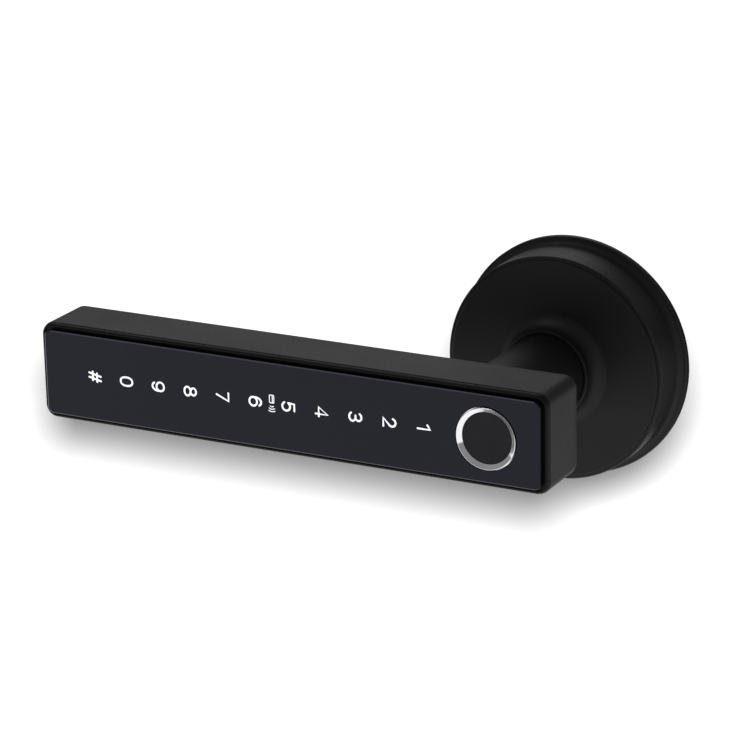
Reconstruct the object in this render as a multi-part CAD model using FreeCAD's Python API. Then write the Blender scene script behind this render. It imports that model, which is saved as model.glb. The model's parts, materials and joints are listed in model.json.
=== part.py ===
import FreeCAD, Part
import math
import os

# Outside half of a smart lever-handle lock, in millimetres.
# The origin is on the spindle's axis, at the door's face. The lock stands out of the door
# towards -Y, the lever points to -X and +Z is up.

# --- Lever ---
LEVER_LEFT = -125.0
LEVER_RIGHT = 24.3
LEVER_HALF_HEIGHT = 13.43
LEVER_BACK_Y = -53.5
LEVER_RIM_Y = -71.4
LEVER_CORNER = 3.5
LEVER_BACK_ROUND = 2.6
RIM_ROUND = 0.3
SHELL_WALL = 2.0
SHELL_BACK_WALL = 2.2
SHELL_INNER_BACK_Y = LEVER_BACK_Y - SHELL_BACK_WALL

# --- Front bezel and glass ---
GLASS_FRONT_Y = -73.7
GLASS_THICKNESS = 1.1
GLASS_INSET = 1.75
GLASS_CHAMFER = 0.25
HOLE_CHAMFER = 0.2
ADHESIVE_THICKNESS = 0.1
BEZEL_INSET = 0.2
BEZEL_NECK_INSET = 0.6
BEZEL_BAND_BACK_Y = -71.65
BEZEL_BAND_FRONT_Y = -72.4
BEZEL_ROUND = 0.65
GROOVE_OUTER_INSET = 0.95
GROOVE_FLOOR_Y = -71.8
SHELF_OUTER_INSET = 2.1
SHELF_INNER_INSET = 4.5
SKIRT_WALL = 1.2
SKIRT_END_Y = -68.0
POST_RADIUS = 2.4
POST_XS = [-112.0, 18.6]
POST_Z = 7.9
BEZEL_SCREW_RADIUS = 1.25
BEZEL_SCREW_HEAD_RADIUS = 2.5
BEZEL_SCREW_HEAD_DEPTH = 1.6
BEZEL_SCREW_TIP_Y = -63.5

# --- Symbols along the glass ---
FIRST_DIGIT_X = -9.83
DIGIT_PITCH = 9.79
DIGIT_COUNT = 11
CARD_SYMBOL_X = -53.9
DIGIT_WELL = (5.2, 4.0)
CARD_WELL = (2.4, 6.4)
WELL_CLEARANCE = 0.1

# --- Fingerprint sensor ---
SENSOR_X = 7.5
SENSOR_HOLE_RADIUS = 8.45
RING_OUTER_RADIUS = 8.25
RING_INNER_RADIUS = 6.95
RING_FRONT_Y = -73.85
RING_BEVEL_DEPTH = 0.85
RING_FLANGE_RADIUS = 8.8
SENSOR_RADIUS = 6.9
SENSOR_THICKNESS = 0.9
SENSOR_BOARD_FRONT_Y = RING_FRONT_Y + RING_BEVEL_DEPTH + 0.95
SENSOR_BOARD_THICKNESS = 0.8

# --- Boards inside the lever ---
TOUCH_BOARD_FRONT_Y = -70.4
TOUCH_BOARD_THICKNESS = 1.0
CONTROL_BOARD_FRONT_Y = -64.0
CONTROL_BOARD_THICKNESS = 1.2
CONTROL_BOARD_LEFT = -104.0
CONTROL_BOARD_RIGHT = -24.0
CONTROL_BOARD_HALF_HEIGHT = 9.4
BOARD_SCREW_XS = [-100.0, -28.0]
BOARD_SCREW_Z = 6.5
BOARD_SCREW_RADIUS = 1.0
BOARD_SCREW_END_Y = -58.0
BOARD_SCREW_HOLE_END_Y = -57.5
BOARD_SCREW_HEAD_RADIUS = 1.9
BOARD_SCREW_HEAD_HEIGHT = 1.2
BOARD_BOSS_RADIUS = 2.2
ANTENNA_X = (-86.0, -24.0)
ANTENNA_HALF_HEIGHT = 8.4
ANTENNA_TRACK_WIDTH = 1.4
ANTENNA_THICKNESS = 0.2
CHIPS = [
    ((-96.5, -87.5), 1.8, (-4.5, 4.5)),
    ((-75.5, -68.5), 0.9, (-3.5, 3.5)),
    ((-60.5, -55.5), 1.0, (4.5, 8.5)),
    ((-52.0, -48.0), 1.0, (-2.0, 2.0)),
]
CONNECTOR_HEIGHT = 1.0
WIDE_CONNECTOR_HALF = 4.5
NARROW_CONNECTOR_HALF = 2.8
SENSOR_CONNECTOR_X = (-33.0, -27.0)
MOTOR_CONNECTOR_X = (-32.0, -26.0)
MOTOR_CONNECTOR_HEIGHT = 2.0
BUZZER_X = -81.0
BUZZER_RADIUS = 4.2
BUZZER_HEIGHT = 2.6
RIBBON_THICKNESS = 0.2
WIRE_RADIUS = 0.5
WIRE_ZS = [-1.2, 1.2]
RIBBON_X = -61.0
SOCKET_X = -40.0
SOCKET_WIDTH = 9.0
SOCKET_HEIGHT = 3.2
SOCKET_MOUTH_Z = -13.2
SOCKET_LENGTH = 7.3
SOCKET_DEPTH = 6.5
SOCKET_WALL = 0.35
TONGUE_HALF_WIDTH = 3.3
TONGUE_HALF_THICKNESS = 0.35
TONGUE_RECESS = 1.2

# --- Neck ---
NECK_RADIUS = 11.0
NECK_BORE = 8.5
NECK_TAIL_Y = -3.0
NECK_FLANGE_THICKNESS = 2.5
NECK_FLANGE_HALF_WIDTH = 15.0
NECK_FLANGE_HALF_HEIGHT = 10.8
NECK_FLANGE_CORNER = 3.0
NECK_SCREW_X = 12.2
NECK_SCREW_Z = 8.0
NECK_SCREW_RADIUS = 1.25
NECK_SCREW_END_Y = -54.3
NECK_SCREW_HOLE_END_Y = -54.1
NECK_SCREW_HEAD_RADIUS = 2.2
NECK_SCREW_HEAD_HEIGHT = 1.8
NECK_CLIP_Y = (-4.5, -3.5)
NECK_CLIP_DEPTH = 0.7
NECK_CLIP_STAND = 2.0
NECK_CLIP_GAP = 6.0
KEYWAY_RADIUS = 9.6
KEYWAY_WIDTH = 4.2
KEYWAY_START_Y = -38.5
RUNNING_GAP = 0.05

# --- Rose ---
ROSE_RADIUS = 31.0
ROSE_FLANGE_RADIUS = 33.3
ROSE_FACE_Y = -16.6
ROSE_LEDGE_Y = -16.1
ROSE_FACE_RADIUS = 29.95
ROSE_FACE_WALL = 2.5
ROSE_SIDE_WALL = 2.2
ROSE_FLANGE_FRONT_Y = -4.2
ROSE_BACK_Y = -2.2
COLLAR_TIP_Y = -21.6
COLLAR_TIP_RADIUS = 12.1
COLLAR_FLARE_MIDDLE = (12.82, -18.38)
COLLAR_BASE_RADIUS = 15.6
COLLAR_BORE = 11.85
COLLAR_LIP_BORE = NECK_RADIUS + 0.3
COLLAR_LIP_DEPTH = 1.0
COLLAR_EDGE_ROUND = 0.25
FOOT_FILLET = 1.8
BUSH_FLANGE_RADIUS = 16.0
BUSH_FLANGE_THICKNESS = 1.0
WASHER_THICKNESS = 0.5

# --- Door plate ---
PLATE_BACK_Y = -0.8
GASKET_RADIUS = 31.2
GASKET_CLEARANCE = 0.3
PLATE_SCREW_RADIUS = 25.2
PLATE_SCREW_ANGLES = [30.0, 150.0, 270.0]
PLATE_SCREW_SHANK_RADIUS = 1.5
PLATE_SCREW_HEAD_RADIUS = 2.9
PLATE_SCREW_TIP_Y = -11.2
PLATE_SCREW_HOLE_END_Y = -11.4
PLATE_BOSS_RADIUS = 3.0
FIXING_SPACING = 38.0
FIXING_POST_RADIUS = 4.0
FIXING_POST_END_Y = 20.0
FIXING_POST_CHAMFER = 0.5
FIXING_SHOULDER_RADIUS = 4.6
FIXING_FOOT_RADIUS = 5.5
FIXING_FOOT_HEIGHT = 1.2
FIXING_THREAD_RADIUS = 1.65
FIXING_THREAD_END_Y = 10.5
CABLE_SLOT_WIDTH = 12.0
CABLE_SLOT_HEIGHT = 6.0
CABLE_SLOT_TOP_Z = -8.6

# --- Lever travel ---
LEVER_TRAVEL_DEG = 50.0
CAM_Y = (-6.7, -4.5)
CAM_RADIUS = 17.0
LUG_HALF_WIDTH = 3.0
LUG_TIP = 21.0
LUG_FRONT_Y = -8.8
PIN_CIRCLE = 20.0
PIN_RADIUS = 1.5
PIN_FRONT_Y = -12.4
PIN_GAP = 0.15
SPRING_RADIUS = 14.9
SPRING_WIRE_RADIUS = 0.75
SPRING_FIRST_Y = -11.5
SPRING_PITCH = 1.9
SPRING_CATCH_RADIUS = 16.3
TANG_TIP = 20.0

# --- Clutch and spindle ---
MOTOR_RADIUS = 4.0
MOTOR_Y = (-57.0, -42.0)
SCREW_RADIUS = 1.25
SCREW_END_Y = -22.4
DOG_RADIUS = 6.4
DOG_Y = (-33.0, -24.0)
DOG_TOOTH_X = (3.2, 6.1)
DOG_TOOTH_HALF_WIDTH = 1.8
DOG_TOOTH_END_Y = -18.0
HUB_RADIUS = 7.0
HUB_FRONT_Y = -21.2
HUB_TAIL_RADIUS = 6.8
HUB_TAIL_END_Y = 1.2
HUB_SLOT_INNER_X = 3.0
HUB_SLOT_HALF_WIDTH = 1.9
HUB_SHOULDER_RADIUS = 8.0
HUB_SHOULDER_Y = (-4.6, -3.2)
BUSH_OUTER_RADIUS = 7.85
BUSH_FRONT_Y = -3.0
CIRCLIP_RADIUS = 7.7
CIRCLIP_Y = (-0.7, 0.2)
CIRCLIP_GROOVE_RADIUS = 6.3
SPINDLE_SIDE = 8.0
SPINDLE_FRONT_Y = -15.0
SPINDLE_END_Y = 45.0
SPINDLE_TIP_CHAMFER = 0.8
SPINDLE_PIN_Y = -10.0
SPINDLE_PIN_RADIUS = 1.25

Y_AXIS = FreeCAD.Vector(0, 1, 0)
ORIGIN = FreeCAD.Vector(0, 0, 0)


# --- Basic shapes ---

def block(x, y, z):
    """Box between two limits on each axis."""
    return Part.makeBox(x[1] - x[0], y[1] - y[0], z[1] - z[0], FreeCAD.Vector(x[0], y[0], z[0]))


def rod(radius, y, x=0.0, z=0.0):
    """Cylinder along Y."""
    return Part.makeCylinder(radius, y[1] - y[0], FreeCAD.Vector(x, y[0], z), Y_AXIS)


def tube(outer, inner, y, x=0.0, z=0.0):
    """Ring along Y."""
    return rod(outer, y, x, z).cut(rod(inner, y, x, z))


def cone(radius_1, radius_2, y, x=0.0, z=0.0):
    """Cone along Y, with one radius at each limit of y."""
    return Part.makeCone(radius_1, radius_2, y[1] - y[0], FreeCAD.Vector(x, y[0], z), Y_AXIS)


def rounded_block(x, y, z, corner):
    """Box whose four edges along Y are rounded."""
    body = block(x, y, z)
    edges = [e for e in body.Edges if abs(e.Vertexes[0].Y - e.Vertexes[1].Y) > 1e-6]
    return body.makeFillet(corner, edges)


def lever_block(inset, y):
    """Block with the lever's outline, moved in by inset on all sides."""
    x = (LEVER_LEFT + inset, LEVER_RIGHT - inset)
    z = (-LEVER_HALF_HEIGHT + inset, LEVER_HALF_HEIGHT - inset)
    return rounded_block(x, y, z, max(LEVER_CORNER - inset, 0.6))


def edges_at(body, y):
    """Edges that lie whole in the plane at y."""
    return [e for e in body.Edges if abs(e.BoundBox.YMin - y) + abs(e.BoundBox.YMax - y) < 1e-4]


def turned(path, x=0.0):
    """Solid turned about a Y axis at x. A path item is a corner (r, y), or (middle, end) of an arc."""
    edges = []
    start = path[0]
    for step in path[1:] + [path[0]]:
        if isinstance(step[0], tuple):
            middle, end = step
            edges.append(Part.Arc(turned_point(start), turned_point(middle), turned_point(end)).toShape())
        else:
            end = step
            edges.append(Part.makeLine(turned_point(start), turned_point(end)))
        start = end
    body = Part.Face(Part.Wire(edges)).revolve(ORIGIN, Y_AXIS, 360)
    body.translate(FreeCAD.Vector(x, 0, 0))
    return body


def turned_point(place):
    return FreeCAD.Vector(place[0], place[1], 0)


def quarter_middle(centre, radius, r_sign, y_sign):
    """Middle of a quarter arc, on the side of its centre that the signs give."""
    reach = radius * math.sqrt(0.5)
    return (centre[0] + r_sign * reach, centre[1] + y_sign * reach)


def bent_line(path, z):
    """Centre line in the plane at z, with its first point and direction. Bends are right angles, and each
    corner gives the radius of its bend."""
    first = FreeCAD.Vector(path[0][0], path[0][1], z)
    last = FreeCAD.Vector(path[-1][0], path[-1][1], z)
    edges = []
    start = first
    for before, corner, after in zip(path, path[1:], path[2:]):
        here = FreeCAD.Vector(corner[0], corner[1], z)
        back = (FreeCAD.Vector(before[0], before[1], z) - here).normalize()
        ahead = (FreeCAD.Vector(after[0], after[1], z) - here).normalize()
        bend = corner[2]
        leave = here + ahead * bend
        centre = here + (back + ahead) * bend
        middle = centre + (here - centre).normalize() * bend
        edges.append(Part.makeLine(start, here + back * bend))
        edges.append(Part.Arc(here + back * bend, middle, leave).toShape())
        start = leave
    edges.append(Part.makeLine(start, last))
    along = FreeCAD.Vector(path[1][0] - path[0][0], path[1][1] - path[0][1], 0).normalize()
    return Part.Wire(edges), first, along


def strip(path, z):
    """Flat cable whose centre line follows the path in the XY plane."""
    line, first, along = bent_line(path, z[0])
    across = FreeCAD.Vector(-along.y, along.x, 0) * (RIBBON_THICKNESS / 2)
    height = FreeCAD.Vector(0, 0, z[1] - z[0])
    corners = [first - across, first + across, first + across + height, first - across + height]
    section = Part.makePolygon(corners + [corners[0]])
    return line.makePipeShell([section], True, False)


def wire_run(path, z):
    """Round wire whose centre line follows the path in the XY plane at z."""
    line, first, along = bent_line(path, z)
    section = Part.Wire(Part.makeCircle(WIRE_RADIUS, first, along))
    return line.makePipeShell([section], True, False)


def round_place(radius, degrees):
    """Point (x, z) on a circle about the spindle's axis, with 0 degrees at +X and 90 at +Z."""
    angle = math.radians(degrees)
    return (radius * math.cos(angle), radius * math.sin(angle))


def digit_xs():
    return [FIRST_DIGIT_X - DIGIT_PITCH * number for number in range(DIGIT_COUNT)]


def symbol_boxes(growth, y):
    """One box for each digit and one for the card symbol."""
    boxes = []
    for x, size in [(x, DIGIT_WELL) for x in digit_xs()] + [(CARD_SYMBOL_X, CARD_WELL)]:
        half_x = size[0] / 2 + growth
        half_z = size[1] / 2 + growth
        boxes.append(block((x - half_x, x + half_x), y, (-half_z, half_z)))
    return boxes


def post_places():
    return [(x, z) for x in POST_XS for z in (-POST_Z, POST_Z)]


def post_notches(y):
    """Room for the bezel's posts in what lies behind the glass, open to the nearest edges."""
    half = POST_RADIUS + 0.2
    notches = []
    for x, z in post_places():
        x_limits = (x - half, LEVER_RIGHT) if x > 0 else (x - half, x + half)
        z_limits = (z - half, LEVER_HALF_HEIGHT) if z > 0 else (-LEVER_HALF_HEIGHT, z + half)
        notches.append(block(x_limits, y, z_limits))
    return notches


def board_screw_places():
    return [(x, z) for x in BOARD_SCREW_XS for z in (-BOARD_SCREW_Z, BOARD_SCREW_Z)]


def neck_screw_places():
    return [(x, z) for x in (-NECK_SCREW_X, NECK_SCREW_X) for z in (-NECK_SCREW_Z, NECK_SCREW_Z)]


def cut_all(body, tools):
    for tool in tools:
        body = body.cut(tool)
    return body


def fuse_all(body, others):
    for other in others:
        body = body.fuse(other)
    return body.removeSplitter()


# --- Lever ---

def lever_shell():
    body = lever_block(0.0, (LEVER_RIM_Y, LEVER_BACK_Y))
    body = body.makeFillet(LEVER_BACK_ROUND, edges_at(body, LEVER_BACK_Y))
    body = body.makeFillet(RIM_ROUND, edges_at(body, LEVER_RIM_Y))
    body = body.cut(lever_block(SHELL_WALL, (LEVER_RIM_Y - 1.0, SHELL_INNER_BACK_Y)))
    boss_y = (CONTROL_BOARD_FRONT_Y + CONTROL_BOARD_THICKNESS, SHELL_INNER_BACK_Y)
    body = fuse_all(body, [rod(BOARD_BOSS_RADIUS, boss_y, x, z) for x, z in board_screw_places()])
    board_hole_y = (boss_y[0] - 1.0, BOARD_SCREW_HOLE_END_Y)
    neck_hole_y = (SHELL_INNER_BACK_Y - 1.0, NECK_SCREW_HOLE_END_Y)
    holes = [rod(NECK_RADIUS, (SHELL_INNER_BACK_Y - 1.0, LEVER_BACK_Y + 1.0))]
    holes += [rod(BOARD_SCREW_RADIUS, board_hole_y, x, z) for x, z in board_screw_places()]
    holes += [rod(NECK_SCREW_RADIUS, neck_hole_y, x, z) for x, z in neck_screw_places()]
    holes += [bezel_screw(x, z) for x, z in post_places()]
    holes.append(socket_outline(0.1, (-LEVER_HALF_HEIGHT - 1.0, -10.0)))
    return cut_all(body, holes)


def front_bezel():
    body = lever_block(BEZEL_INSET, (BEZEL_BAND_FRONT_Y, BEZEL_BAND_BACK_Y))
    body = body.makeFillet(BEZEL_ROUND, edges_at(body, BEZEL_BAND_FRONT_Y))
    groove = lever_block(GROOVE_OUTER_INSET, (BEZEL_BAND_FRONT_Y - 1.0, GROOVE_FLOOR_Y))
    body = body.cut(groove)
    skirt_inner = SHELF_OUTER_INSET + SKIRT_WALL
    shelf_y = (GLASS_FRONT_Y + GLASS_THICKNESS + ADHESIVE_THICKNESS, GROOVE_FLOOR_Y + 0.1)
    parts = [
        lever_block(BEZEL_NECK_INSET, (GROOVE_FLOOR_Y, LEVER_RIM_Y)),
        lever_block(SHELF_OUTER_INSET, shelf_y),
        lever_block(SHELF_OUTER_INSET, (LEVER_RIM_Y - 0.1, SKIRT_END_Y)).cut(
            lever_block(skirt_inner, (LEVER_RIM_Y - 1.0, SKIRT_END_Y + 1.0))),
    ]
    body = fuse_all(body, parts)
    body = body.cut(lever_block(SHELF_INNER_INSET, (GLASS_FRONT_Y, LEVER_RIM_Y + 1.0)))
    posts = [rod(POST_RADIUS, (LEVER_RIM_Y, SHELL_INNER_BACK_Y), x, z) for x, z in post_places()]
    inside = lever_block(SHELF_OUTER_INSET, (GLASS_FRONT_Y, LEVER_BACK_Y))
    body = fuse_all(body, [post.common(inside) for post in posts])
    return cut_all(body, [bezel_screw(x, z) for x, z in post_places()])


def touch_panel():
    back_y = GLASS_FRONT_Y + GLASS_THICKNESS
    body = lever_block(GLASS_INSET, (GLASS_FRONT_Y, back_y))
    body = body.makeChamfer(GLASS_CHAMFER, edges_at(body, GLASS_FRONT_Y))
    body = body.cut(rod(SENSOR_HOLE_RADIUS, (GLASS_FRONT_Y - 1.0, back_y + 1.0), SENSOR_X))
    chamfer_y = (GLASS_FRONT_Y, GLASS_FRONT_Y + HOLE_CHAMFER)
    return body.cut(cone(SENSOR_HOLE_RADIUS + HOLE_CHAMFER, SENSOR_HOLE_RADIUS, chamfer_y, SENSOR_X))


def panel_adhesive():
    back_y = GLASS_FRONT_Y + GLASS_THICKNESS
    y = (back_y, back_y + ADHESIVE_THICKNESS)
    return lever_block(SHELF_OUTER_INSET + 0.2, y).cut(lever_block(SHELF_INNER_INSET, y))


def fingerprint_ring():
    flange_y = GLASS_FRONT_Y + GLASS_THICKNESS + ADHESIVE_THICKNESS
    crest = RING_OUTER_RADIUS - 0.15
    back_y = TOUCH_BOARD_FRONT_Y - 0.2
    return turned([
        (RING_INNER_RADIUS, back_y),
        (RING_OUTER_RADIUS, back_y),
        (RING_OUTER_RADIUS, flange_y + 0.8),
        (RING_FLANGE_RADIUS, flange_y + 0.8),
        (RING_FLANGE_RADIUS, flange_y),
        (RING_OUTER_RADIUS, flange_y),
        (RING_OUTER_RADIUS, RING_FRONT_Y + 0.15),
        (quarter_middle((crest, RING_FRONT_Y + 0.15), 0.15, 1, -1), (crest, RING_FRONT_Y)),
        (RING_INNER_RADIUS, RING_FRONT_Y + RING_BEVEL_DEPTH),
    ], SENSOR_X)


def fingerprint_sensor():
    front_y = RING_FRONT_Y + RING_BEVEL_DEPTH + 0.05
    body = rod(SENSOR_RADIUS, (front_y, front_y + SENSOR_THICKNESS), SENSOR_X)
    return body.makeFillet(0.2, edges_at(body, front_y))


def sensor_board():
    back_y = SENSOR_BOARD_FRONT_Y + SENSOR_BOARD_THICKNESS
    board = rod(SENSOR_RADIUS, (SENSOR_BOARD_FRONT_Y, back_y), SENSOR_X)
    chip = block((SENSOR_X - 2.5, SENSOR_X + 2.5), (back_y, back_y + 0.6), (2.4, 5.4))
    return board.fuse(chip)


def light_frame():
    y = (GLASS_FRONT_Y + GLASS_THICKNESS + 0.05, TOUCH_BOARD_FRONT_Y)
    half_height = LEVER_HALF_HEIGHT - SHELF_INNER_INSET - 0.2
    x = (LEVER_LEFT + SHELF_INNER_INSET + 0.2, FIRST_DIGIT_X + DIGIT_PITCH - 2.2)
    body = rounded_block(x, y, (-half_height, half_height), 0.8)
    return cut_all(body, symbol_boxes(0.0, y) + post_notches(y))


def key_light_guides():
    y = (GLASS_FRONT_Y + GLASS_THICKNESS + 0.1, TOUCH_BOARD_FRONT_Y - 0.6)
    return Part.makeCompound(symbol_boxes(-WELL_CLEARANCE, y))


def key_leds():
    leds = []
    for x in digit_xs() + [CARD_SYMBOL_X]:
        y = (TOUCH_BOARD_FRONT_Y - 0.5, TOUCH_BOARD_FRONT_Y)
        leds.append(block((x - 0.4, x + 0.4), y, (-0.8, 0.8)))
    return Part.makeCompound(leds)


def touch_board():
    y = (TOUCH_BOARD_FRONT_Y, TOUCH_BOARD_FRONT_Y + TOUCH_BOARD_THICKNESS)
    body = lever_block(SHELF_OUTER_INSET + SKIRT_WALL + 0.2, y)
    return cut_all(body, post_notches(y) + [rod(5.0, y, SENSOR_X)])


def card_antenna():
    back_y = TOUCH_BOARD_FRONT_Y + TOUCH_BOARD_THICKNESS
    y = (back_y, back_y + ANTENNA_THICKNESS)
    outer = rounded_block(ANTENNA_X, y, (-ANTENNA_HALF_HEIGHT, ANTENNA_HALF_HEIGHT), 1.5)
    inner_x = (ANTENNA_X[0] + ANTENNA_TRACK_WIDTH, ANTENNA_X[1] - ANTENNA_TRACK_WIDTH)
    inner_half = ANTENNA_HALF_HEIGHT - ANTENNA_TRACK_WIDTH
    return outer.cut(rounded_block(inner_x, y, (-inner_half, inner_half), 0.8))


def control_board():
    y = (CONTROL_BOARD_FRONT_Y, CONTROL_BOARD_FRONT_Y + CONTROL_BOARD_THICKNESS)
    half_height = CONTROL_BOARD_HALF_HEIGHT
    body = rounded_block((CONTROL_BOARD_LEFT, CONTROL_BOARD_RIGHT), y, (-half_height, half_height), 1.5)
    return cut_all(body, [rod(BOARD_SCREW_RADIUS, y, x, z) for x, z in board_screw_places()])


def board_chips():
    """Radio module, main controller, memory and motor driver on the control board."""
    front = CONTROL_BOARD_FRONT_Y
    return Part.makeCompound([block(x, (front - height, front), z) for x, height, z in CHIPS])


def board_connectors():
    """Sockets for the two flat cables and the motor's wires."""
    front = CONTROL_BOARD_FRONT_Y
    back = front + CONTROL_BOARD_THICKNESS
    touch_back = TOUCH_BOARD_FRONT_Y + TOUCH_BOARD_THICKNESS
    ribbon_x = (RIBBON_X - 6.0, RIBBON_X)
    wide = (-WIDE_CONNECTOR_HALF, WIDE_CONNECTOR_HALF)
    narrow = (-NARROW_CONNECTOR_HALF, NARROW_CONNECTOR_HALF)
    return Part.makeCompound([
        block(ribbon_x, (touch_back, touch_back + CONNECTOR_HEIGHT), wide),
        block(ribbon_x, (front - CONNECTOR_HEIGHT, front), wide),
        block(SENSOR_CONNECTOR_X, (front - CONNECTOR_HEIGHT, front), narrow),
        block(MOTOR_CONNECTOR_X, (back, back + MOTOR_CONNECTOR_HEIGHT), narrow),
    ])


def buzzer():
    return rod(BUZZER_RADIUS, (CONTROL_BOARD_FRONT_Y - BUZZER_HEIGHT, CONTROL_BOARD_FRONT_Y), BUZZER_X)


def board_screws():
    front = CONTROL_BOARD_FRONT_Y
    screws = []
    for x, z in board_screw_places():
        head = rod(BOARD_SCREW_HEAD_RADIUS, (front - BOARD_SCREW_HEAD_HEIGHT, front), x, z)
        screws.append(head.fuse(rod(BOARD_SCREW_RADIUS, (front, BOARD_SCREW_END_Y), x, z)))
    return Part.makeCompound(screws)


def panel_ribbon():
    """Flat cable from the touch board, round a U bend, to the control board."""
    upper_y = TOUCH_BOARD_FRONT_Y + TOUCH_BOARD_THICKNESS + CONNECTOR_HEIGHT / 2
    lower_y = CONTROL_BOARD_FRONT_Y - CONNECTOR_HEIGHT / 2
    bend = 0.99 * (lower_y - upper_y) / 2
    right = RIBBON_X + 6.0
    path = [(RIBBON_X, upper_y), (right, upper_y, bend), (right, lower_y, bend), (RIBBON_X, lower_y)]
    return strip(path, (-3.5, 3.5))


def sensor_ribbon():
    """Flat cable from the sensor board, through the touch board, to the control board."""
    start_y = SENSOR_BOARD_FRONT_Y + SENSOR_BOARD_THICKNESS
    run_y = CONTROL_BOARD_FRONT_Y - CONNECTOR_HEIGHT / 2
    path = [(SENSOR_X, start_y), (SENSOR_X, run_y, 2.0), (SENSOR_CONNECTOR_X[1], run_y)]
    return strip(path, (-2.0, 2.0))


def motor_wires():
    """Two wires from the motor's back to the control board."""
    run_y = CONTROL_BOARD_FRONT_Y + CONTROL_BOARD_THICKNESS + MOTOR_CONNECTOR_HEIGHT / 2
    path = [(0.0, MOTOR_Y[0]), (0.0, run_y, 2.0), (MOTOR_CONNECTOR_X[1], run_y)]
    return Part.makeCompound([wire_run(path, z) for z in WIRE_ZS])


def socket_outline(growth, z):
    """Flat oval of the power socket, along Z."""
    centre_y = CONTROL_BOARD_FRONT_Y - SOCKET_HEIGHT / 2
    half_x = SOCKET_WIDTH / 2 + growth
    half_y = SOCKET_HEIGHT / 2 + growth
    body = block((SOCKET_X - half_x, SOCKET_X + half_x), (centre_y - half_y, centre_y + half_y), z)
    edges = [e for e in body.Edges if abs(e.Vertexes[0].Z - e.Vertexes[1].Z) > 1e-6]
    return body.makeFillet(half_y * 0.95, edges)


def power_socket():
    centre_y = CONTROL_BOARD_FRONT_Y - SOCKET_HEIGHT / 2
    floor_z = SOCKET_MOUTH_Z + SOCKET_DEPTH
    body = socket_outline(0.0, (SOCKET_MOUTH_Z, SOCKET_MOUTH_Z + SOCKET_LENGTH))
    body = body.cut(socket_outline(-SOCKET_WALL, (SOCKET_MOUTH_Z - 1.0, floor_z)))
    tongue_x = (SOCKET_X - TONGUE_HALF_WIDTH, SOCKET_X + TONGUE_HALF_WIDTH)
    tongue_y = (centre_y - TONGUE_HALF_THICKNESS, centre_y + TONGUE_HALF_THICKNESS)
    return body.fuse(block(tongue_x, tongue_y, (SOCKET_MOUTH_Z + TONGUE_RECESS, floor_z + 0.1)))


def bezel_screw(x, z):
    """Countersunk screw from the lever's back into a post of the bezel."""
    head_y = (LEVER_BACK_Y - BEZEL_SCREW_HEAD_DEPTH, LEVER_BACK_Y)
    head = cone(BEZEL_SCREW_RADIUS, BEZEL_SCREW_HEAD_RADIUS, head_y, x, z)
    return head.fuse(rod(BEZEL_SCREW_RADIUS, (BEZEL_SCREW_TIP_Y, head_y[0]), x, z))


def bezel_screws():
    """Six-lobe sockets are simplified to a small hexagon."""
    screws = []
    for x, z in post_places():
        drive = hexagon(0.9, (LEVER_BACK_Y - 1.1, LEVER_BACK_Y + 0.1), x, z)
        screws.append(bezel_screw(x, z).cut(drive))
    return Part.makeCompound(screws)


def hexagon(radius, y, x, z):
    """Hexagonal prism along Y."""
    corners = []
    for side in range(7):
        cx, cz = round_place(radius, 60.0 * side)
        corners.append(FreeCAD.Vector(x + cx, y[0], z + cz))
    return Part.Face(Part.makePolygon(corners)).extrude(FreeCAD.Vector(0, y[1] - y[0], 0))


# --- Neck and what turns with it ---

def neck():
    """Tube with a flange inside the lever, two keyways for the dog and a groove for the circlip."""
    flange_x = (-NECK_FLANGE_HALF_WIDTH, NECK_FLANGE_HALF_WIDTH)
    flange_y = (SHELL_INNER_BACK_Y - NECK_FLANGE_THICKNESS, SHELL_INNER_BACK_Y)
    flange_z = (-NECK_FLANGE_HALF_HEIGHT, NECK_FLANGE_HALF_HEIGHT)
    body = rod(NECK_RADIUS, (SHELL_INNER_BACK_Y, NECK_TAIL_Y))
    body = fuse_all(body, [rounded_block(flange_x, flange_y, flange_z, NECK_FLANGE_CORNER)])
    half_width = KEYWAY_WIDTH / 2
    keyway_y = (KEYWAY_START_Y, NECK_TAIL_Y + 1.0)
    keyway = block((-KEYWAY_RADIUS, KEYWAY_RADIUS), keyway_y, (-half_width, half_width))
    screw_y = (flange_y[0] - 1.0, flange_y[1] + 0.5)
    cuts = [
        rod(NECK_BORE, (flange_y[0] - 1.0, NECK_TAIL_Y + 1.0)),
        keyway.common(rod(KEYWAY_RADIUS, keyway_y)),
        tube(NECK_RADIUS + 1.0, NECK_RADIUS - NECK_CLIP_DEPTH, NECK_CLIP_Y),
    ]
    cuts += [rod(NECK_SCREW_RADIUS, screw_y, x, z) for x, z in neck_screw_places()]
    return cut_all(body, cuts)


def neck_screws():
    front = SHELL_INNER_BACK_Y - NECK_FLANGE_THICKNESS
    screws = []
    for x, z in neck_screw_places():
        head = rod(NECK_SCREW_HEAD_RADIUS, (front - NECK_SCREW_HEAD_HEIGHT, front), x, z)
        screws.append(head.fuse(rod(NECK_SCREW_RADIUS, (front, NECK_SCREW_END_Y), x, z)))
    return Part.makeCompound(screws)


def return_cam():
    """Ring on the neck's tail, with the lug that meets the stop pins."""
    width = (-LUG_HALF_WIDTH, LUG_HALF_WIDTH)
    lug = block(width, CAM_Y, (NECK_RADIUS + 1.0, LUG_TIP))
    spring_catch = block(width, (LUG_FRONT_Y, CAM_Y[1]), (SPRING_CATCH_RADIUS, LUG_TIP))
    body = fuse_all(rod(CAM_RADIUS, CAM_Y), [lug, spring_catch])
    return body.cut(rod(NECK_RADIUS, CAM_Y))


def neck_circlip():
    body = tube(NECK_RADIUS + NECK_CLIP_STAND, NECK_RADIUS - NECK_CLIP_DEPTH, NECK_CLIP_Y)
    return body.cut(block((-NECK_CLIP_GAP / 2, NECK_CLIP_GAP / 2), NECK_CLIP_Y, (0.0, 20.0)))


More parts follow.
